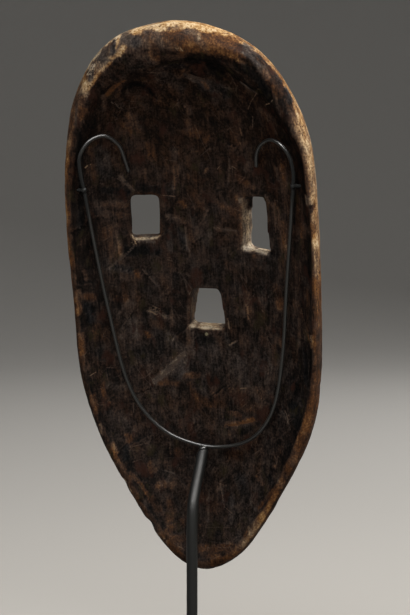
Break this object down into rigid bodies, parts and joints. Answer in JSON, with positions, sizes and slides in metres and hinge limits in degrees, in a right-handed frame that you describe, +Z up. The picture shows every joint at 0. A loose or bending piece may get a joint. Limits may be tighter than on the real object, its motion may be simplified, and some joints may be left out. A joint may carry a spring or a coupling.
{
  "type": "carved face mask on display stand",
  "caption": "Oval carved wooden face mask with a hollow back, square eye and mouth openings, held by a bent wire cradle on a steel rod and plate stand.",
  "frame": {"origin": "centre of the underside of the stand's square foot plate, under the stem", "axes": "+Z up; the face looks along -Y and leans back, so the hollow back opens towards +Y; +X is on the right as one looks at the face"},
  "size_m": [0.1803, 0.15, 0.4717],
  "materials": {
    "carved_wood": "hand-carved light wood with a dark brown to blackish handling patina on the back, worn pale along the rim and in the openings, and worn clay pigments on the face",
    "grey_steel": "satin dark grey lacquered steel wire and rod",
    "black_steel": "matt black powder-coated steel plate"
  },
  "bodies": {
    "root": {"mask": "carved_wood", "cradle": "grey_steel", "stem": "grey_steel", "foot": "black_steel"}
  },
  "joints": []
}
